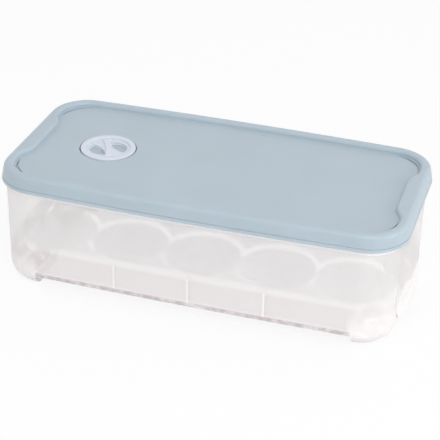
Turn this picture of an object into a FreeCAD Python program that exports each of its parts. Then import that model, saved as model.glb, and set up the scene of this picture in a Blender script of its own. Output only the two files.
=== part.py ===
import FreeCAD, Part
import math
import os

# An egg keeper: a frosted box on corner feet, a lift-out tray of egg cups and a lift-off lid with
# a turning vent. Millimetres, Z up, length along X, front at -Y, Z zero under the feet.

# Whole object
overall_length = 290.0
overall_width = 144.4
overall_height = 89.6
corner_radius = 29.4
side_bow = 3.4
overrun = 2.0
level_tolerance = 0.001

# Lid shell
skirt_height = 11.9
skirt_wall = 1.2
skirt_flare = 2.3
rim_width = 9.2
rim_thickness = 2.0
rim_outer_round = 3.4
rim_inner_round = 2.4
skirt_foot_round = 0.5
skirt_groove_height = 2.7
skirt_groove_width = 0.7
skirt_groove_depth = 0.4
plug_wall = 1.6
plug_shortfall = 1.1

# Recessed panel of the lid
recess_depth = 3.5
recess_foot_round = 0.7
panel_thickness = 2.2
crescent_depth = 1.4
crescent_extra_radius = 6.0
crescent_margin = 0.2

# End tabs of the lid, with a shallow finger groove along each
tab_reach = 5.3
tab_root_from_side = 38.6
tab_tip_from_side = 49.9
tab_root_round = 4.0
tab_tip_round = 5.0
tab_wall = 1.8
tab_pocket_rise = 2.2
finger_groove_depth = 0.9
finger_groove_half_width = 5.8
finger_groove_from_side = 43.2
finger_groove_inset = 9.2

# Box
skirt_gap = 0.25
base_wall = 2.2
base_draft = 1.5
foot_bow = 1.5
base_floor = 2.2
base_rim_round = 0.5
floor_edge_round = 3.0
foot_height = 9.8
foot_edge_round = 14.0
foot_floor = 2.0
foot_wall = 2.0
foot_length = 27.6
foot_depth = 44.9
pocket_corner_round = 10.0
pocket_floor_round = 9.6

# Panels in the ends of the box: sunk a little under the lid, and flared out at their lower edge
end_panel_half_width = 47.0
end_panel_corner_round = 22.0
end_panel_sink = 1.0
end_panel_rise = 2.5
end_panel_low_bow = 4.6
end_panel_face_bow = 0.2

# Ribs inside the box that carry the tray
rib_width = 1.6
rib_reach = 3.0

# Lid seal
plug_gap = 0.35
seal_thickness = 1.6
seal_side_gap = 0.15

# Egg tray
tray_gap = 0.5
tray_top_height = 34.8
tray_thickness = 1.8
cup_from_end = 37.0
cup_from_side = 39.2
least_cup_pitch = 50.0
least_row_pitch = 60.0
cup_rim_radius = 29.0
cup_depth = 12.0
cup_wall = 1.4
cup_bead_radius = 0.7

# Vent: knob, sliding seal and retainer
vent_from_end = 62.0
knob_radius = 19.8
knob_well_gap = 0.7
knob_proud = 0.8
knob_ring_width = 4.0
knob_ring_round = 0.8
knob_face_recess = 1.2
knob_face_thickness = 1.2
well_wall = 1.6
well_floor = 1.6
well_edge_round = 0.4
bar_angle = 113.0
bar_half_length = 13.2
bar_end_half_width = 3.4
bar_waist_half_width = 2.0
bar_drop = 0.1
bar_round = 0.8
stem_radius = 4.0
stem_fit = 0.06
stem_head_step = 1.0
stem_head_height = 1.0
retainer_radius = 7.5
retainer_thickness = 1.4
retainer_gap = 0.1
retainer_bore_gap = 0.05
vent_seal_thickness = 0.8
vent_seal_margin = 1.0
vent_seal_bore_gap = 0.3

# Leaf windows through the knob, and the smaller openings in the well's floor
window_angle = 46.6
window_offset = 6.4
window_shift = 1.4
window_half_length = 9.4
window_outer_bulge = 6.9
window_inner_bulge = 2.6
window_tip_round = 0.9
slot_half_length = 4.2
slot_bulge = 2.1
slot_offset = 7.6
slot_tip_round = 0.6
quarter_turn = 90.0
half_turn = 180.0

# Places that follow from the sizes above
lid_half_length = overall_length / 2
lid_half_width = overall_width / 2
cup_row_length = overall_length - 2 * cup_from_end
cup_gaps_per_row = int(cup_row_length // least_cup_pitch)
cup_pitch = cup_row_length / cup_gaps_per_row
row_width = overall_width - 2 * cup_from_side
row_gaps = int(row_width // least_row_pitch)
row_pitch = row_width / max(row_gaps, 1)
tab_root_half = lid_half_width - tab_root_from_side
tab_tip_half = lid_half_width - tab_tip_from_side
finger_groove_half_length = lid_half_width - finger_groove_from_side
skirt_bottom = overall_height - skirt_height
plug_bottom = skirt_bottom + plug_shortfall
channel_top = overall_height - rim_thickness
base_top = channel_top - seal_thickness
skirt_slope = skirt_flare / skirt_height
panel_top = overall_height - recess_depth
panel_under = panel_top - panel_thickness
floor_top = foot_height + base_floor
tray_under = tray_top_height - tray_thickness
base_inset = skirt_wall + skirt_slope * (base_top - skirt_bottom) + skirt_gap
cavity_inset = base_inset + base_wall
floor_inset = cavity_inset + base_draft
channel_inset = skirt_wall + skirt_slope * (channel_top - skirt_bottom)
plug_inset = cavity_inset + plug_gap
lid_hollow_inset = plug_inset + plug_wall
tray_inset = floor_inset + tray_gap
base_half_length = lid_half_length - base_inset
base_half_width = lid_half_width - base_inset
recess_half_length = lid_half_length - rim_width
recess_half_width = lid_half_width - rim_width
foot_inner_x = base_half_length - foot_length
foot_inner_y = base_half_width - foot_depth
end_panel_low = foot_height
end_panel_high = skirt_bottom + end_panel_rise
cup_radius = (cup_rim_radius ** 2 + cup_depth ** 2) / (2 * cup_depth)
cup_centre_height = tray_top_height - cup_depth + cup_radius
vent_x = vent_from_end - lid_half_length
well_radius = knob_radius + knob_well_gap
knob_top = panel_top + knob_proud
knob_face = knob_top - knob_face_recess
knob_under = knob_face - knob_face_thickness
well_floor_top = knob_under - vent_seal_thickness
well_floor_under = well_floor_top - well_floor
retainer_top = well_floor_under - retainer_gap
retainer_under = retainer_top - retainer_thickness
stem_bottom = retainer_under - stem_head_height

along_x = FreeCAD.Vector(1, 0, 0)
along_z = FreeCAD.Vector(0, 0, 1)


def arc_radius(half_chord, bulge):
    """Radius of the arc that stands out by bulge over a chord."""
    return (half_chord ** 2 + bulge ** 2) / (2 * bulge)


def box(x_low, x_high, y_low, y_high, z_low, z_high):
    """Plain block between two corners."""
    corner = FreeCAD.Vector(x_low, y_low, z_low)
    return Part.makeBox(x_high - x_low, y_high - y_low, z_high - z_low, corner)


def upright_edges(shape):
    """Edges that run straight up."""
    found = []
    for edge in shape.Edges:
        room = edge.BoundBox
        if room.XLength < level_tolerance and room.YLength < level_tolerance:
            found.append(edge)
    return found


def level_edges(shape, level):
    """Edges that lie flat at one height."""
    found = []
    for edge in shape.Edges:
        room = edge.BoundBox
        if abs(room.ZMin - level) < level_tolerance and abs(room.ZMax - level) < level_tolerance:
            found.append(edge)
    return found


def outline(inset, level, extra_radius=0, bow=side_bow):
    """Closed wire at one level along the lid's outline, moved inwards by inset."""
    side_radius = arc_radius(lid_half_length, bow)
    side_centre_y = lid_half_width - side_radius
    corner = corner_radius + extra_radius
    centre_x = lid_half_length - corner
    centre_y = side_centre_y + math.sqrt((side_radius - corner) ** 2 - centre_x ** 2)
    meeting = math.atan2(centre_y - side_centre_y, centre_x)
    places = []
    for angle in (0, meeting / 2, meeting):
        x = centre_x + (corner - inset) * math.cos(angle)
        y = centre_y + (corner - inset) * math.sin(angle)
        places.append((x, y))
    edges = []
    for half in (1, -1):
        near = [FreeCAD.Vector(half * x, half * y, level) for x, y in places]
        far = [FreeCAD.Vector(-half * x, half * y, level) for x, y in places]
        start = FreeCAD.Vector(near[0].x, -near[0].y, level)
        crown = FreeCAD.Vector(0, half * (lid_half_width - inset), level)
        edges.append(Part.LineSegment(start, near[0]).toShape())
        edges.append(Part.Arc(near[0], near[1], near[2]).toShape())
        edges.append(Part.Arc(near[2], crown, far[2]).toShape())
        edges.append(Part.Arc(far[2], far[1], far[0]).toShape())
    return Part.Wire(edges)


def rounded_block(inset, low, high, extra_radius=0):
    """Block whose plan follows the lid's outline, moved inwards by inset."""
    return Part.Face(outline(inset, low, extra_radius)).extrude(along_z * (high - low))


def tapered_block(low_inset, high_inset, low, high):
    """Block that changes evenly from one inset at its foot to another at its top."""
    return Part.makeLoft([outline(low_inset, low), outline(high_inset, high)], True, True)


def drafted_block(inset, low):
    """Block up to the box's rim whose walls lean as the box's walls do, flatter at the foot."""
    foot = outline(inset + base_draft, 0, bow=foot_bow)
    block = Part.makeLoft([foot, outline(inset, base_top)], True, True)
    if low > 0:
        block = block.cut(box(-overall_length, overall_length, -overall_width, overall_width, -overrun, low))
    return block


def rounded_ring(outer_inset, inner_inset, low, high):
    """Ring between two such outlines."""
    hollow = rounded_block(inner_inset, low - overrun, high + overrun)
    return rounded_block(outer_inset, low, high).cut(hollow)


def disc(radius, low, high, x=0, y=0):
    """Upright cylinder."""
    return Part.makeCylinder(radius, high - low, FreeCAD.Vector(x, y, low), along_z)


def prism(points, low, high):
    """Upright prism over a closed outline of corner points."""
    corners = [FreeCAD.Vector(x, y, low) for x, y in points]
    outline = Part.makePolygon(corners + corners[:1])
    return Part.Face(outline).extrude(along_z * (high - low))


def both_ends(shape):
    """The shape and its copy turned round to the other end."""
    other = shape.copy()
    other.rotate(FreeCAD.Vector(), along_z, half_turn)
    return [shape, other]


def tab_prism(wall, low, high):
    """Trapezium of one end tab, drawn in by wall on its free sides."""
    root = recess_half_length
    tip = root - tab_reach + wall
    outline = [
        (root + overrun, -tab_root_half + wall),
        (root + overrun, tab_root_half - wall),
        (root, tab_root_half - wall),
        (tip, tab_tip_half - wall),
        (tip, -tab_tip_half + wall),
        (root, -tab_root_half + wall),
    ]
    return prism(outline, low, high)


def recess_cutter():
    """Room over the lid's panel: the rim's inner outline less the two end tabs."""
    cutter = rounded_block(rim_width, panel_top, overall_height + overrun)
    for tab in both_ends(tab_prism(0, panel_top - overrun, overall_height + 2 * overrun)):
        cutter = cutter.cut(tab)
    tip = recess_half_length - tab_reach
    for distance, radius in ((recess_half_length, tab_root_round), (tip, tab_tip_round)):
        corners = []
        for edge in upright_edges(cutter):
            if abs(abs(edge.Vertexes[0].X) - distance) < level_tolerance:
                corners.append(edge)
        if distance == recess_half_length:
            reach = tab_root_half + level_tolerance
            corners = [edge for edge in corners if abs(edge.Vertexes[0].Y) < reach]
        cutter = cutter.makeFillet(radius, corners)
    return cutter.makeFillet(recess_foot_round, level_edges(cutter, panel_top))


def rim_inner_edges(lid):
    """Upper edges of the rim that look onto the panel."""
    found = []
    for edge in level_edges(lid, overall_height):
        room = edge.BoundBox
        far_x = max(abs(room.XMin), abs(room.XMax))
        far_y = max(abs(room.YMin), abs(room.YMax))
        if far_x < recess_half_length + level_tolerance and far_y < recess_half_width + level_tolerance:
            found.append(edge)
    return found


def corner_crescents():
    """Deeper crescents of the recess, one in each corner beside the tabs."""
    inset = rim_width + recess_foot_round + crescent_margin
    low = panel_top - crescent_depth
    high = panel_top + crescent_margin
    plateau = rounded_block(inset, low - overrun, high + overrun, crescent_extra_radius)
    return rounded_block(inset, low, high).cut(plateau)


def finger_groove():
    """Ring-shaped cutter that leaves a long shallow groove along one end of the lid."""
    tube = arc_radius(finger_groove_half_width, finger_groove_depth)
    sweep = arc_radius(finger_groove_half_length, finger_groove_depth)
    centre = FreeCAD.Vector(
        lid_half_length - finger_groove_inset,
        0,
        overall_height - finger_groove_depth + sweep,
    )
    return Part.makeTorus(sweep - tube, tube, centre, along_x)


def leaf(half_length, outer_bulge, inner_bulge, tip_round, low, high):
    """Upright leaf whose chord lies along Y, with its outer bulge towards +X."""
    outer = arc_radius(half_length, outer_bulge)
    inner = arc_radius(half_length, inner_bulge)
    shape = disc(outer, low, high, outer_bulge - outer).common(disc(inner, low, high, inner - inner_bulge))
    return shape.makeFillet(tip_round, upright_edges(shape))


def pair_about_vent(shape, offset, shift, angle):
    """Two copies of a leaf on opposite sides of the vent's axis."""
    placed = []
    for turn in (angle, angle + half_turn):
        copy = shape.copy()
        copy.translate(FreeCAD.Vector(offset, -shift, 0))
        copy.rotate(FreeCAD.Vector(), along_z, turn)
        copy.translate(FreeCAD.Vector(vent_x, 0, 0))
        placed.append(copy)
    return placed


def window_leaves(low, high):
    """Cutters for the two windows of the knob and of its seal."""
    shape = leaf(window_half_length, window_outer_bulge, window_inner_bulge, window_tip_round, low, high)
    return pair_about_vent(shape, window_offset, window_shift, window_angle)


def floor_slots():
    """Cutters for the openings in the well's floor, a quarter turn from the windows."""
    low = well_floor_under - overrun
    high = well_floor_top + overrun
    shape = leaf(slot_half_length, slot_bulge, slot_bulge, slot_tip_round, low, high)
    return pair_about_vent(shape, slot_offset, 0, window_angle + quarter_turn)


def lid_well():
    """Cup in the panel that holds the knob, and the room inside it."""
    outside = disc(well_radius + well_wall, well_floor_under, panel_top, vent_x)
    inside = disc(well_radius, well_floor_top, overall_height + overrun, vent_x)
    return outside, inside


def make_lid():
    """Lid: skirt, rolled rim, end tabs, recessed panel, plug wall and vent well."""
    lid = tapered_block(0, skirt_flare, skirt_bottom, overall_height)
    lid = lid.makeFillet(rim_outer_round, level_edges(lid, overall_height))
    lid = lid.makeFillet(skirt_foot_round, level_edges(lid, skirt_bottom))
    lid = lid.cut(recess_cutter())
    lid = lid.makeFillet(rim_inner_round, rim_inner_edges(lid))
    lid = lid.cut(corner_crescents())
    for groove in both_ends(finger_groove()):
        lid = lid.cut(groove)
    under_rim = tapered_block(skirt_wall, channel_inset, skirt_bottom, channel_top)
    plug = rounded_block(plug_inset, plug_bottom, channel_top + overrun)
    lid = lid.cut(under_rim.cut(plug))
    lid = lid.cut(rounded_block(lid_hollow_inset, skirt_bottom - overrun, panel_under))
    for pocket in both_ends(tab_prism(tab_wall, panel_under - overrun, panel_under + tab_pocket_rise)):
        reach = rounded_block(lid_hollow_inset, skirt_bottom, overall_height)
        lid = lid.cut(pocket.common(reach))
    groove_low = skirt_bottom + skirt_groove_height - skirt_groove_width / 2
    groove_high = groove_low + skirt_groove_width
    groove_inset = skirt_groove_depth + skirt_slope * skirt_groove_height
    lid = lid.cut(rounded_ring(-overrun, groove_inset, groove_low, groove_high))
    outside, inside = lid_well()
    lid = lid.fuse(outside).cut(inside)
    rim = [edge for edge in level_edges(lid, panel_top) if is_circle(edge, well_radius)]
    lid = lid.makeFillet(well_edge_round, rim)
    for slot in floor_slots():
        lid = lid.cut(slot)
    hole = disc(stem_radius + stem_fit, well_floor_under - overrun, well_floor_top + overrun, vent_x)
    return lid.cut(hole)


def is_circle(edge, radius):
    """True for a circular edge of that radius."""
    curve = edge.Curve
    return isinstance(curve, Part.Circle) and abs(curve.Radius - radius) < level_tolerance


def make_lid_seal():
    """Flat ring in the roof of the lid's channel, which the box's rim presses on."""
    return rounded_ring(channel_inset + seal_side_gap, plug_inset - seal_side_gap, base_top, channel_top)


def end_wall_at(level):
    """Distance from the middle to the end wall's outer face at one level."""
    return base_half_length - base_draft * (1 - level / base_top)


def end_panel_outline(level, inner, face, bow):
    """Closed wire of one end panel at one level: straight sides and a face that may be bowed."""
    corners = [
        FreeCAD.Vector(face, -end_panel_half_width, level),
        FreeCAD.Vector(inner, -end_panel_half_width, level),
        FreeCAD.Vector(inner, end_panel_half_width, level),
        FreeCAD.Vector(face, end_panel_half_width, level),
    ]
    crown = FreeCAD.Vector(face + bow, 0, level)
    edges = [Part.LineSegment(start, end).toShape() for start, end in zip(corners, corners[1:])]
    edges.append(Part.Arc(corners[3], crown, corners[0]).toShape())
    return Part.Wire(edges)


def end_panel():
    """Room of one end panel, and the part of it that is wall: a face that leans out downwards."""
    high_face = end_wall_at(end_panel_high) - end_panel_sink
    low_face = lid_half_length - end_panel_low_bow
    inner = end_wall_at(end_panel_high) - base_wall + end_panel_face_bow
    room = box(inner, lid_half_length + overrun, -end_panel_half_width, end_panel_half_width,
               end_panel_low, end_panel_high)
    lower = []
    for edge in level_edges(room, end_panel_low):
        if edge.BoundBox.YLength < level_tolerance:
            lower.append(edge)
    room = room.makeFillet(end_panel_corner_round, lower)
    low = end_panel_outline(end_panel_low, inner, low_face, end_panel_low_bow)
    high = end_panel_outline(end_panel_high, inner, high_face, end_panel_face_bow)
    leaning = Part.makeLoft([low, high], True, True)
    return room.cut(leaning), room.common(leaning)


def foot_pockets():
    """Hollows of the four feet, open towards the inside of the box."""
    inside = rounded_block(floor_inset, foot_floor, floor_top + overrun)
    near_x = foot_inner_x + foot_wall
    near_y = foot_inner_y + foot_wall
    pockets = []
    for side_x in (-1, 1):
        for side_y in (-1, 1):
            xs = sorted((side_x * near_x, side_x * base_half_length))
            ys = sorted((side_y * near_y, side_y * base_half_width))
            corner = box(xs[0], xs[1], ys[0], ys[1], foot_floor, floor_top + overrun)
            pocket = inside.common(corner)
            sharp = []
            for edge in upright_edges(pocket):
                at = edge.Vertexes[0]
                if min(abs(abs(at.X) - near_x), abs(abs(at.Y) - near_y)) < level_tolerance:
                    sharp.append(edge)
            pocket = pocket.makeFillet(pocket_corner_round, sharp)
            pockets.append(pocket.makeFillet(pocket_floor_round, level_edges(pocket, foot_floor)))
    return pockets


def tray_ribs():
    """Upright ribs inside the walls that the tray's plate rests on."""
    wall_x = lid_half_length - floor_inset
    wall_y = lid_half_width - floor_inset
    low = foot_height + base_floor / 2
    ribs = []
    for number in range(1, cup_gaps_per_row):
        x = number * cup_pitch - cup_row_length / 2
        for side in (-1, 1):
            ys = sorted((side * (wall_y - rib_reach), side * (wall_y + base_wall / 2)))
            ribs.append(box(x - rib_width / 2, x + rib_width / 2, ys[0], ys[1], low, tray_under))
    for side in (-1, 1):
        xs = sorted((side * (wall_x - rib_reach), side * (wall_x + base_wall / 2)))
        ribs.append(box(xs[0], xs[1], -rib_width / 2, rib_width / 2, low, tray_under))
    return ribs


def make_base_box():
    """Box: walls, floor, four hollow corner feet, leaning end panels and tray ribs."""
    base = drafted_block(base_inset, 0)
    base = base.makeFillet(foot_edge_round, level_edges(base, 0))
    open_room, wall = end_panel()
    for room in both_ends(open_room):
        base = base.cut(room)
    for panel in both_ends(wall):
        base = base.fuse(panel)
    cavity = drafted_block(cavity_inset, floor_top)
    cavity = cavity.makeFillet(floor_edge_round, level_edges(cavity, floor_top))
    base = base.cut(cavity)
    base = base.makeFillet(base_rim_round, level_edges(base, base_top))
    far_x = lid_half_length + overrun
    far_y = lid_half_width + overrun
    base = base.cut(box(-foot_inner_x, foot_inner_x, -far_y, far_y, -overrun, foot_height))
    base = base.cut(box(-far_x, far_x, -foot_inner_y, foot_inner_y, -overrun, foot_height))
    for pocket in foot_pockets():
        base = base.cut(pocket)
    for rib in tray_ribs():
        base = base.fuse(rib)
    return base.removeSplitter()


def cup_places():
    """Centres of the egg cups, row by row."""
    places = []
    for row in range(row_gaps + 1):
        y = row * row_pitch - row_gaps * row_pitch / 2
        for number in range(cup_gaps_per_row + 1):
            places.append((number * cup_pitch - cup_row_length / 2, y))
    return places


def cup_room(x, y, low, high):
    """Room of one cup, which ends in the middle of the walls that it shares with the next cups."""
    room = disc(cup_rim_radius + 2 * cup_bead_radius, low, high, x, y)
    reach = cup_pitch / 2
    return room.common(box(x - reach, x + reach, y - overall_width, y + overall_width, low, high))


def make_egg_tray():
    """Tray: one plate with a round-bottomed cup and a fine bead for each egg. Neighbouring cups meet."""
    tray = rounded_block(tray_inset, tray_under, tray_top_height)
    lowest = tray_top_height - cup_depth - cup_wall - overrun
    for x, y in cup_places():
        centre = FreeCAD.Vector(x, y, cup_centre_height)
        room = disc(cup_rim_radius, lowest, tray_top_height - tray_thickness / 2, x, y)
        tray = tray.fuse(Part.makeSphere(cup_radius + cup_wall, centre).common(room))
    for x, y in cup_places():
        centre = FreeCAD.Vector(x, y, cup_centre_height)
        tray = tray.cut(Part.makeSphere(cup_radius, centre))
    for x, y in cup_places():
        centre = FreeCAD.Vector(x, y, tray_top_height)
        bead = Part.makeTorus(cup_rim_radius, cup_bead_radius, centre, along_z)
        tray = tray.fuse(bead.common(cup_room(x, y, tray_under, tray_top_height + overrun)))
    return tray


def grip_bar():
    """Waisted finger bar across the knob's face."""
    top = knob_top - bar_drop
    bar = box(-bar_end_half_width, bar_end_half_width, -bar_half_length, bar_half_length, knob_under, top)
    scoop = arc_radius(bar_half_length, bar_end_half_width - bar_waist_half_width)
    for side in (-1, 1):
        x = side * (bar_waist_half_width + scoop)
        bar = bar.cut(disc(scoop, knob_under - overrun, top + overrun, x))
    bar = bar.makeFillet(bar_round, level_edges(bar, top))
    bar.rotate(FreeCAD.Vector(), along_z, bar_angle - quarter_turn)
    bar.translate(FreeCAD.Vector(vent_x, 0, 0))
    return bar


def make_vent_knob():
    """Knob: raised ring, recessed face with two windows, finger bar, stem and stem head."""
    knob = disc(knob_radius, knob_under, knob_top, vent_x)
    knob = knob.cut(disc(knob_radius - knob_ring_width, knob_face, knob_top + overrun, vent_x))
    knob = knob.makeFillet(knob_ring_round, level_edges(knob, knob_top))
    for window in window_leaves(knob_under - overrun, knob_top + overrun):
        knob = knob.cut(window)
    knob = knob.fuse(grip_bar())
    knob = knob.fuse(disc(stem_radius, stem_bottom, knob_face, vent_x))
    return knob.fuse(disc(stem_radius + stem_head_step, stem_bottom, retainer_under, vent_x))


def make_vent_seal():
    """Thin soft disc under the knob, with the knob's own windows."""
    seal = disc(knob_radius - vent_seal_margin, well_floor_top, knob_under, vent_x)
    for window in window_leaves(well_floor_top - overrun, knob_under + overrun):
        seal = seal.cut(window)
    bore = stem_radius + vent_seal_bore_gap
    return seal.cut(disc(bore, well_floor_top - overrun, knob_under + overrun, vent_x))


def make_vent_retainer():
    """Push-on ring on the stem, under the well's floor."""
    ring = disc(retainer_radius, retainer_under, retainer_top, vent_x)
    bore = stem_radius + retainer_bore_gap
    return ring.cut(disc(bore, retainer_under - overrun, retainer_top + overrun, vent_x))


nodes = {
    "base_box": make_base_box,
    "egg_tray": make_egg_tray,
    "lid": make_lid,
    "lid_seal": make_lid_seal,
    "vent_knob": make_vent_knob,
    "vent_seal": make_vent_seal,
    "vent_retainer": make_vent_retainer,
}

os.makedirs("parts", exist_ok=True)
for name, make in nodes.items():
    solid = make()
    solid.exportStep("parts/" + name + ".step")
    room = solid.BoundBox
    print(name, "solids", len(solid.Solids), "valid", solid.isValid(), "volume", round(solid.Volume),
          "from", round(room.XMin, 2), round(room.YMin, 2), round(room.ZMin, 2),
          "to", round(room.XMax, 2), round(room.YMax, 2), round(room.ZMax, 2))
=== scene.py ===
import bpy
from mathutils import Matrix, Vector


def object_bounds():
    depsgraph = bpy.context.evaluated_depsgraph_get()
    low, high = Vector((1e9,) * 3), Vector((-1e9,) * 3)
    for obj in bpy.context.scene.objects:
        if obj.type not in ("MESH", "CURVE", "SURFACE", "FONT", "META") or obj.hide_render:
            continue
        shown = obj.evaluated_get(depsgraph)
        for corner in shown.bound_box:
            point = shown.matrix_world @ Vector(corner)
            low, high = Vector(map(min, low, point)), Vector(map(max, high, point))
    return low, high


# An egg keeper on a white studio floor. Metres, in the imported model's own frame.
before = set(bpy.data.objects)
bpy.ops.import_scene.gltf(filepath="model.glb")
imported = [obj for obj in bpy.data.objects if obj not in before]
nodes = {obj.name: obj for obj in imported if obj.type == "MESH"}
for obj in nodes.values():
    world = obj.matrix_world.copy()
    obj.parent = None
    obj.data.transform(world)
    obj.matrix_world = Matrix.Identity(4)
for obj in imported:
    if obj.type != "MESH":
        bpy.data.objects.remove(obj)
cad_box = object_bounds()

MM = 0.001
WHITE = (1, 1, 1, 1)

# Camera at the photograph's place, fitted to the lid's outline
CAMERA_PLACE = (0.249396, -0.849844, cad_box[1].z + 0.454145)
CAMERA_RIGHT = (0.95558, 0.29356, 0.02633)
CAMERA_UP = (-0.16657, 0.46419, 0.86993)
CAMERA_FORWARD = (-0.24315, 0.83567, -0.49247)
CAMERA_LENS = 115.883
CAMERA_SENSOR = 36
CAMERA_NEAR = 0.01
CAMERA_FAR = 50

# Studio: the light all round, the floor, and each lamp's name, place, size and power
WORLD_LIGHT = 0.75
FLOOR_REACH = 6
FLOOR_COLOUR = (0.9, 0.9, 0.9, 1)
FLOOR_GLOW_SHARE = 0.85
LAMP_TARGET = (0, 0, 0.05)
LAMPS = [
    ("key", (0.5, -1.15, 1.3), 0.6, 9.5),
    ("side", (1.5, -0.3, 0.5), 0.4, 5),
]

# Light paths long enough for the many see-through walls
ALL_BOUNCES = 24
DIFFUSE_BOUNCES = 12
GLOSSY_BOUNCES = 6
SEE_THROUGH_BOUNCES = 48

# What all the plastics share: a slight cloud in the colour and a fine grain
PLASTIC_IOR = 1.46
CLOUD_SCALE = 22
CLOUD_DETAIL = 3
CLOUD_TINT = 0.02
CLOUD_STOPS = (0.3, 0.7)
GRAIN_SCALE = 1000
GRAIN_DETAIL = 2
GRAIN_HEIGHT = 0.05 * MM
ROUGHNESS_SPREAD = 0.1

# What the box's three materials share
FROSTING = {"roughness": 0.4, "grain": 0.3, "grain_size": 0.6}

# Places of the tray's cups
CUP_PITCH = 54 * MM
CUP_ROW = 33 * MM
CUP_RIM = 29 * MM

# Masks of the tray: one or two limits, then half the width of their soft edge
LIP_RING = (CUP_RIM - 2.1 * MM, CUP_RIM + 1.3 * MM, 0.4 * MM)
LIP_ROW_END = (2.5 * CUP_PITCH, 0.1 * MM)
LIP_FOOT = (30 * MM, 0.1 * MM)
TRAY_EDGE_FOOT = (32 * MM, 0.2 * MM)
TRAY_SIDE = (63 * MM, 0.3 * MM)
TRAY_END = (136.4 * MM, 0.1 * MM)
# Bowls, painted a little darker as shade
BOWL_RADIUS = (CUP_RIM - 1.6 * MM, 0.5 * MM)
BOWL_HEIGHT = (10 * MM, 34.7 * MM, 0.1 * MM)

# Masks of the box, in the same way
UPRIGHT_LINE_WIDTH = (-0.7 * MM, 0.7 * MM, 0.25 * MM)
UPRIGHT_LINES_END = (60 * MM, 1 * MM)
UPRIGHT_LINES_SIDE = (58 * MM, 0.2 * MM)
UPRIGHT_LINES_HEIGHT = (13 * MM, 32.5 * MM, 1 * MM)
# Lower walls below the tray, painted darker as shade under the tray
LOW_WALL_END = (116 * MM, 6 * MM)
LOW_WALL_HEIGHT = (12 * MM, 32 * MM, 2 * MM)
FEET_START = (113 * MM, 3 * MM)
FEET_HEIGHT = (-5 * MM, 22 * MM, 7 * MM)
# Thick rim under the lid, denser and painted a little brighter as glow
BOX_RIM_FOOT = (74.6 * MM, 0.4 * MM)
FLOOR_HEIGHT = (5 * MM, 12.2 * MM, 0.1 * MM)
# Dark strip along the lower edge, painted as shade
STRIP_HEIGHT = (5 * MM, 13.4 * MM, 0.5 * MM)
STRIP_END = (113.8 * MM, 1 * MM)
STRIP_SIDE = (60 * MM, 0.2 * MM)

# Speckle of the painted dark strip along the box's lower edge: the part of the noise that shows,
# and how much
SPECKLE_SCALE = 260
SPECKLE_DETAIL = 3
SPECKLE_NOISE = (0.3, 0.6)
SPECKLE_STRENGTH = (0.35, 1)

# Faces of the box that take its second and third material; the third is painted dark as the shade
# seen along the end panels' edges
INSIDE_SLOT = 1
PAINTED_DARK_EDGE_SLOT = 2
LEVEL_SHARE = 0.7
LEVEL_FACES_ABOVE = 3 * MM
END_PANEL_START = 138.5 * MM
END_PANEL_SIDE = 50 * MM
EDGE_SHARE = 0.55


def add_camera():
    """The photograph's camera."""
    data = bpy.data.cameras.new("camera")
    data.sensor_width = CAMERA_SENSOR
    data.lens = CAMERA_LENS
    data.clip_start = CAMERA_NEAR
    data.clip_end = CAMERA_FAR
    camera = bpy.data.objects.new("camera", data)
    bpy.context.scene.collection.objects.link(camera)
    right = Vector(CAMERA_RIGHT)
    up = Vector(CAMERA_UP)
    back = -Vector(CAMERA_FORWARD)
    turn = Matrix((right, up, back)).transposed().to_4x4()
    camera.matrix_world = Matrix.Translation(CAMERA_PLACE) @ turn
    bpy.context.scene.camera = camera


def area_light(name, place, size, power):
    """A soft round lamp that looks at the object."""
    data = bpy.data.lights.new(name, "AREA")
    data.shape = "DISK"
    data.size = size
    data.energy = power
    lamp = bpy.data.objects.new(name, data)
    bpy.context.scene.collection.objects.link(lamp)
    lamp.location = place
    sight = Vector(LAMP_TARGET) - Vector(place)
    lamp.rotation_euler = sight.to_track_quat("-Z", "Y").to_euler()


def fill(tree, socket, value):
    """Links a socket to an input, or sets the input to a number or a colour."""
    if isinstance(value, bpy.types.NodeSocket):
        tree.links.new(value, socket)
    else:
        socket.default_value = value


def add_node(tree, kind, **inputs):
    """A new shader node with its inputs filled. An input's name has _ for each space."""
    node = tree.nodes.new("ShaderNode" + kind)
    for name, value in inputs.items():
        fill(tree, node.inputs[name.replace("_", " ")], value)
    return node


def calculate(tree, operation, *values):
    """The result of a Math node on numbers or sockets."""
    node = add_node(tree, "Math")
    node.operation = operation
    for socket, value in zip(node.inputs, values):
        fill(tree, socket, value)
    return node.outputs[0]


def product(tree, first, *others):
    """Several masks multiplied."""
    for other in others:
        first = calculate(tree, "MULTIPLY", first, other)
    return first


def widest(tree, first, *others):
    """The largest of several masks."""
    for other in others:
        first = calculate(tree, "MAXIMUM", first, other)
    return first


def remap(tree, value, source, result, shape="LINEAR"):
    """A value carried from one range of numbers to another."""
    node = add_node(
        tree,
        "MapRange",
        Value=value,
        From_Min=source[0],
        From_Max=source[1],
        To_Min=result[0],
        To_Max=result[1],
    )
    node.interpolation_type = shape
    return node.outputs["Result"]


def seen_directly(tree):
    """One for rays from the camera, a mirror or a window, and zero for the light."""
    path = add_node(tree, "LightPath").outputs
    return widest(
        tree, path["Is Camera Ray"], path["Is Glossy Ray"], path["Is Transmission Ray"]
    )


def add_mix(tree, share, first, second, kind):
    """Two shaders mixed by a share and led to an output of the given kind."""
    mix = add_node(tree, "MixShader", Fac=share)
    tree.links.new(first.outputs[0], mix.inputs[1])
    tree.links.new(second.outputs[0], mix.inputs[2])
    add_node(tree, kind, Surface=mix.outputs[0])


def add_world():
    """Even studio light all round, which the camera sees as white."""
    world = bpy.data.worlds.new("studio")
    world.use_nodes = True
    tree = world.node_tree
    tree.nodes.clear()
    light = add_node(tree, "Background", Color=WHITE, Strength=WORLD_LIGHT)
    seen = add_node(tree, "Background", Color=WHITE, Strength=1)
    add_mix(tree, seen_directly(tree), light, seen, "OutputWorld")
    bpy.context.scene.world = world


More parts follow.
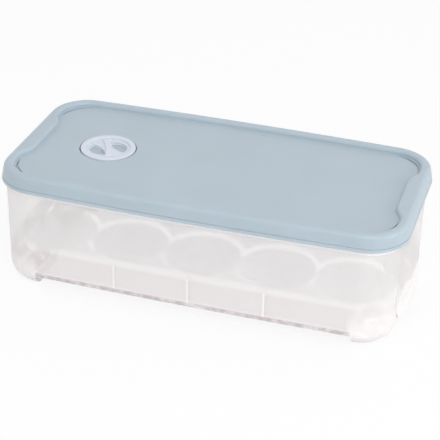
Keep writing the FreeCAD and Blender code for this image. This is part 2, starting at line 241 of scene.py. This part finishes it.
def add_floor():
    """White floor that shows a faint shadow of the object."""
    mesh = bpy.data.meshes.new("floor")
    near = -FLOOR_REACH
    far = FLOOR_REACH
    corners = [(near, near, 0), (far, near, 0), (far, far, 0), (near, far, 0)]
    mesh.from_pydata(corners, [], [(0, 1, 2, 3)])
    floor = bpy.data.objects.new("floor", mesh)
    bpy.context.scene.collection.objects.link(floor)
    material = bpy.data.materials.new("floor_white")
    material.use_nodes = True
    tree = material.node_tree
    tree.nodes.clear()
    paint = add_node(tree, "BsdfDiffuse", Color=FLOOR_COLOUR)
    glow = add_node(tree, "Emission", Color=WHITE, Strength=1)
    share = product(tree, seen_directly(tree), FLOOR_GLOW_SHARE)
    add_mix(tree, share, paint, glow, "OutputMaterial")
    mesh.materials.append(material)


def object_place(tree):
    """The place of a point in the model's own frame."""
    return add_node(tree, "TexCoord").outputs["Object"]


def plastic(name, colour, roughness, alpha=1.0, grain=0.0, grain_size=1.0, glow=0.0, depth=0.0):
    """Moulded plastic with a slight cloud in its colour and roughness and a fine grain."""
    material = bpy.data.materials.new(name)
    material.use_nodes = True
    tree = material.node_tree
    shader = tree.nodes["Principled BSDF"]
    shader.inputs["IOR"].default_value = PLASTIC_IOR
    shader.inputs["Alpha"].default_value = alpha
    shader.inputs["Subsurface Weight"].default_value = glow
    shader.inputs["Subsurface Radius"].default_value = (1, 1, 1)
    shader.inputs["Subsurface Scale"].default_value = depth * MM
    place = object_place(tree)
    cloud = add_node(tree, "TexNoise", Vector=place, Scale=CLOUD_SCALE, Detail=CLOUD_DETAIL)
    shade = add_node(tree, "ValToRGB", Fac=cloud.outputs["Fac"])
    tints = (1 - CLOUD_TINT, 1 + CLOUD_TINT)
    for stop, position, tint in zip(shade.color_ramp.elements, CLOUD_STOPS, tints):
        stop.position = position
        stop.color = (*(min(1, c * tint) for c in colour), 1)
    tree.links.new(shade.outputs["Color"], shader.inputs["Base Color"])
    scale = GRAIN_SCALE / grain_size
    fine = add_node(tree, "TexNoise", Vector=place, Scale=scale, Detail=GRAIN_DETAIL)
    height = fine.outputs["Fac"]
    smooth = roughness * (1 - ROUGHNESS_SPREAD)
    coarse = roughness * (1 + ROUGHNESS_SPREAD)
    rough = remap(tree, height, (0, 1), (smooth, coarse))
    tree.links.new(rough, shader.inputs["Roughness"])
    if grain:
        bump = add_node(tree, "Bump", Strength=grain, Distance=GRAIN_HEIGHT, Height=height)
        tree.links.new(bump.outputs["Normal"], shader.inputs["Normal"])
    return material


def above(tree, value, limit, soft):
    """One where a value lies above a limit, with a soft edge."""
    return remap(tree, value, (limit - soft, limit + soft), (0, 1), "SMOOTHSTEP")


def below(tree, value, limit, soft):
    """One where a value lies below a limit, with a soft edge."""
    return remap(tree, value, (limit - soft, limit + soft), (1, 0), "SMOOTHSTEP")


def between(tree, value, low, high, soft):
    """One where a value lies between two limits, with soft edges."""
    return product(tree, above(tree, value, low, soft), below(tree, value, high, soft))


def place_on(tree, axis):
    """Where a point lies on the X, Y or Z axis."""
    return add_node(tree, "SeparateXYZ", Vector=object_place(tree)).outputs[axis]


def from_middle(tree, axis):
    """How far from the object's middle a point lies along X or Y."""
    return calculate(tree, "ABSOLUTE", place_on(tree, axis))


def across_pitch(tree):
    """The signed distance along X from the middle of the nearest cup."""
    return calculate(tree, "WRAP", place_on(tree, "X"), CUP_PITCH / 2, -CUP_PITCH / 2)


def from_cup(tree):
    """The level distance from the middle of the nearest cup."""
    shift = calculate(tree, "SUBTRACT", from_middle(tree, "Y"), CUP_ROW)
    flat = add_node(tree, "CombineXYZ", X=across_pitch(tree), Y=shift)
    reach = add_node(tree, "VectorMath", Vector=flat.outputs[0])
    reach.operation = "LENGTH"
    return reach.outputs["Value"]


def mask_tray_rims(tree):
    """Clear lips round the cups' mouths and along the tray's outer edge."""
    along = from_middle(tree, "X")
    across = from_middle(tree, "Y")
    height = place_on(tree, "Z")
    ring = between(tree, from_cup(tree), *LIP_RING)
    row = below(tree, along, *LIP_ROW_END)
    rims = product(tree, ring, row, above(tree, height, *LIP_FOOT))
    band = above(tree, height, *TRAY_EDGE_FOOT)
    side = product(tree, above(tree, across, *TRAY_SIDE), band)
    end = product(tree, above(tree, along, *TRAY_END), band)
    return widest(tree, rims, side, end)


def mask_bowls_painted_shade(tree):
    """The hollow of each cup, painted a little darker and denser as the shade in the bowls."""
    inside = below(tree, from_cup(tree), *BOWL_RADIUS)
    return product(tree, inside, between(tree, place_on(tree, "Z"), *BOWL_HEIGHT))


def mask_box_upright_lines(tree):
    """Lighter, denser upright lines on the long walls, in line with the middles of the three
    middle cups.
    """
    rib = between(tree, across_pitch(tree), *UPRIGHT_LINE_WIDTH)
    middle = below(tree, from_middle(tree, "X"), *UPRIGHT_LINES_END)
    side = above(tree, from_middle(tree, "Y"), *UPRIGHT_LINES_SIDE)
    wall = between(tree, place_on(tree, "Z"), *UPRIGHT_LINES_HEIGHT)
    return product(tree, rib, middle, side, wall)


def mask_box_low_painted_shade(tree):
    """The lower part of the walls, below the tray, painted darker as the shade under the tray."""
    middle = below(tree, from_middle(tree, "X"), *LOW_WALL_END)
    return product(tree, middle, between(tree, place_on(tree, "Z"), *LOW_WALL_HEIGHT))


def mask_box_feet(tree):
    """The rounded corner feet, where the plastic is dense."""
    ends = above(tree, from_middle(tree, "X"), *FEET_START)
    return product(tree, ends, between(tree, place_on(tree, "Z"), *FEET_HEIGHT))


def mask_box_thick_rim_and_painted_glow(tree):
    """The thick rim of the box, just under the lid, made denser and painted a little brighter as
    the glow of light carried through the thick plastic.
    """
    return above(tree, place_on(tree, "Z"), *BOX_RIM_FOOT)


def mask_box_floor(tree):
    """The box's floor."""
    return between(tree, place_on(tree, "Z"), *FLOOR_HEIGHT)


def mask_box_painted_dark_strip(tree):
    """The speckled strip along the wall's lower edge, painted dark as the shade seen there along
    the floor's edge.
    """
    low = between(tree, place_on(tree, "Z"), *STRIP_HEIGHT)
    middle = below(tree, from_middle(tree, "X"), *STRIP_END)
    side = above(tree, from_middle(tree, "Y"), *STRIP_SIDE)
    speckle = add_node(
        tree,
        "TexNoise",
        Vector=object_place(tree),
        Scale=SPECKLE_SCALE,
        Detail=SPECKLE_DETAIL,
    )
    strength = remap(tree, speckle.outputs["Fac"], SPECKLE_NOISE, SPECKLE_STRENGTH)
    return product(tree, low, middle, side, strength)


def change_where(material, mask, colour, alpha):
    """Another colour and density of the plastic where the mask is one."""
    tree = material.node_tree
    shader = tree.nodes["Principled BSDF"]
    where = mask(tree)
    mix = add_node(tree, "Mix")
    mix.data_type = "RGBA"
    before = shader.inputs["Base Color"].links[0].from_socket
    tree.links.new(where, mix.inputs["Factor"])
    tree.links.new(before, mix.inputs["A"])
    mix.inputs["B"].default_value = (*colour, 1)
    tree.links.new(mix.outputs["Result"], shader.inputs["Base Color"])
    density = shader.inputs["Alpha"]
    if density.links:
        usual = density.links[0].from_socket
    else:
        usual = density.default_value
    tree.links.new(remap(tree, where, (0, 1), (usual, alpha)), density)


def dress(node, *materials):
    """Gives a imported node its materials. Every face starts with the first of them."""
    mesh = nodes[node].data
    mesh.materials.clear()
    for material in materials:
        mesh.materials.append(material)


def dress_inside(node):
    """Puts the second material on the box's floor and on the faces that look into the box.

    The third, painted dark as the shade seen along the end panels' edges, goes on those edges.
    """
    for face in nodes[node].data.polygons:
        normal = face.normal
        centre = face.center
        outwards = normal.x * centre.x + normal.y * centre.y
        level = abs(normal.z) > LEVEL_SHARE and centre.z > LEVEL_FACES_ABOVE
        if level or outwards < 0:
            face.material_index = INSIDE_SLOT
        on_end = abs(centre.x) > END_PANEL_START and abs(centre.y) < END_PANEL_SIDE
        if on_end and abs(normal.y) > EDGE_SHARE:
            face.material_index = PAINTED_DARK_EDGE_SLOT


frosted = plastic("frosted_box", (0.97, 0.935, 0.93), alpha=0.52, **FROSTING)
inner = plastic("frosted_box_inside", (0.97, 0.95, 0.945), alpha=0.06, **FROSTING)
# Dark, dense plastic for the end panels' edges: painted shade for the dark line seen along them
edge = plastic("frosted_box_painted_dark_edge", (0.5, 0.45, 0.47), alpha=0.7, **FROSTING)
clear = plastic("clear_tray", (0.97, 0.94, 0.94), 0.15, alpha=0.32)
blue = plastic("blue_lid", (0.44, 0.52, 0.58), 0.38, grain=0.3, grain_size=0.5, glow=0.6, depth=2)
knob = plastic("white_knob", (0.64, 0.69, 0.77), 0.25)
seal = plastic("soft_seal", (0.8, 0.8, 0.8), 0.6)

# Where the see-through plastics change: the material, the mask, its colour and its density
CHANGES = [
    # Painted shade on the lower walls under the tray
    (frosted, mask_box_low_painted_shade, (0.84, 0.78, 0.785), 0.54),
    (frosted, mask_box_feet, (0.93, 0.9, 0.9), 0.8),
    # Thick rim, denser and painted a little brighter as glow
    (frosted, mask_box_thick_rim_and_painted_glow, (1, 0.985, 0.98), 0.9),
    (frosted, mask_box_upright_lines, (1, 0.99, 0.99), 0.55),
    # Painted dark strip: shade along the box's lower edge
    (frosted, mask_box_painted_dark_strip, (0.5, 0.42, 0.44), 0.76),
    (inner, mask_box_floor, (0.95, 0.92, 0.92), 0.2),
    (inner, mask_box_feet, (0.97, 0.94, 0.94), 0.3),
    (inner, mask_box_upright_lines, (1, 0.99, 0.99), 0.18),
    # Painted shade in the bowls
    (clear, mask_bowls_painted_shade, (0.95, 0.92, 0.92), 0.38),
    (clear, mask_tray_rims, (1, 1, 1), 0.02),
]
for change in CHANGES:
    change_where(*change)

dress("base_box", frosted, inner, edge)
dress_inside("base_box")
dress("egg_tray", clear)
dress("lid", blue)
dress("lid_seal", seal)
dress("vent_knob", knob)
dress("vent_seal", seal)
dress("vent_retainer", knob)

add_camera()
add_world()
add_floor()
for lamp in LAMPS:
    area_light(*lamp)
bpy.context.scene.view_settings.view_transform = "Standard"
bpy.context.scene.cycles.max_bounces = ALL_BOUNCES
bpy.context.scene.cycles.diffuse_bounces = DIFFUSE_BOUNCES
bpy.context.scene.cycles.glossy_bounces = GLOSSY_BOUNCES
bpy.context.scene.cycles.transparent_max_bounces = SEE_THROUGH_BOUNCES
